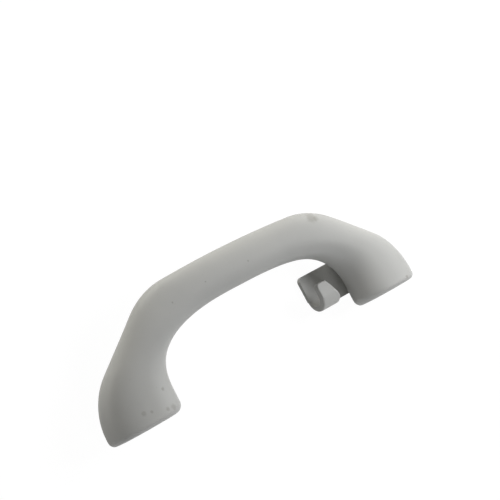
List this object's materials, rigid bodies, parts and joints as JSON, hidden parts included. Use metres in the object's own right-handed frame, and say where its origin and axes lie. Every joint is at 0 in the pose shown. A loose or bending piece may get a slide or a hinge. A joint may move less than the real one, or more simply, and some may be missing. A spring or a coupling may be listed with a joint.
{
  "type": "roof grab handle",
  "caption": "Fold-down vehicle roof grab handle: moulded bow with hollow feet, hidden hinge brackets, return spring, rotary damper and a coat hook.",
  "frame": {"origin": "on the roof mounting plane, midway between the two fixing holes", "axes": "+X along the handle towards the coat hook, +Y from the hinge ends of the feet towards the grip, +Z out of the roof"},
  "size_m": [0.221, 0.0653, 0.0262],
  "materials": {
    "light_grey_plastic": "matte moulded",
    "dark_plastic": "satin",
    "pin_steel": "ground",
    "spring_steel": "drawn wire",
    "zinc_steel": "zinc plated",
    "seal_rubber": "matte",
    "buffer_rubber": "matte"
  },
  "bodies": {
    "brackets": {"left_bracket": "light_grey_plastic", "hook_bracket": "light_grey_plastic", "left_hinge_pin": "pin_steel", "right_hinge_pin": "pin_steel", "spring_bush": "dark_plastic", "return_spring": "spring_steel", "damper_housing": "dark_plastic", "damper_cap": "dark_plastic", "damper_seal": "seal_rubber", "left_screw_sleeve": "zinc_steel", "right_screw_sleeve": "zinc_steel", "left_screw_cap": "light_grey_plastic", "right_screw_cap": "light_grey_plastic", "left_buffer": "buffer_rubber", "right_buffer": "buffer_rubber"},
    "handle": {"grip_handle": "light_grey_plastic", "damper_rotor": "dark_plastic"}
  },
  "joints": [
    {"name": "handle_swing", "type": "hinge", "parent": "brackets", "child": "handle", "pos_m": [0, -0.014, 0.009], "axis": [1, 0, 0], "range_deg": [0, 65], "stiffness_Nm_per_rad": 0.12, "springref_deg": -51.57, "deforming": ["return_spring"]}
  ]
}
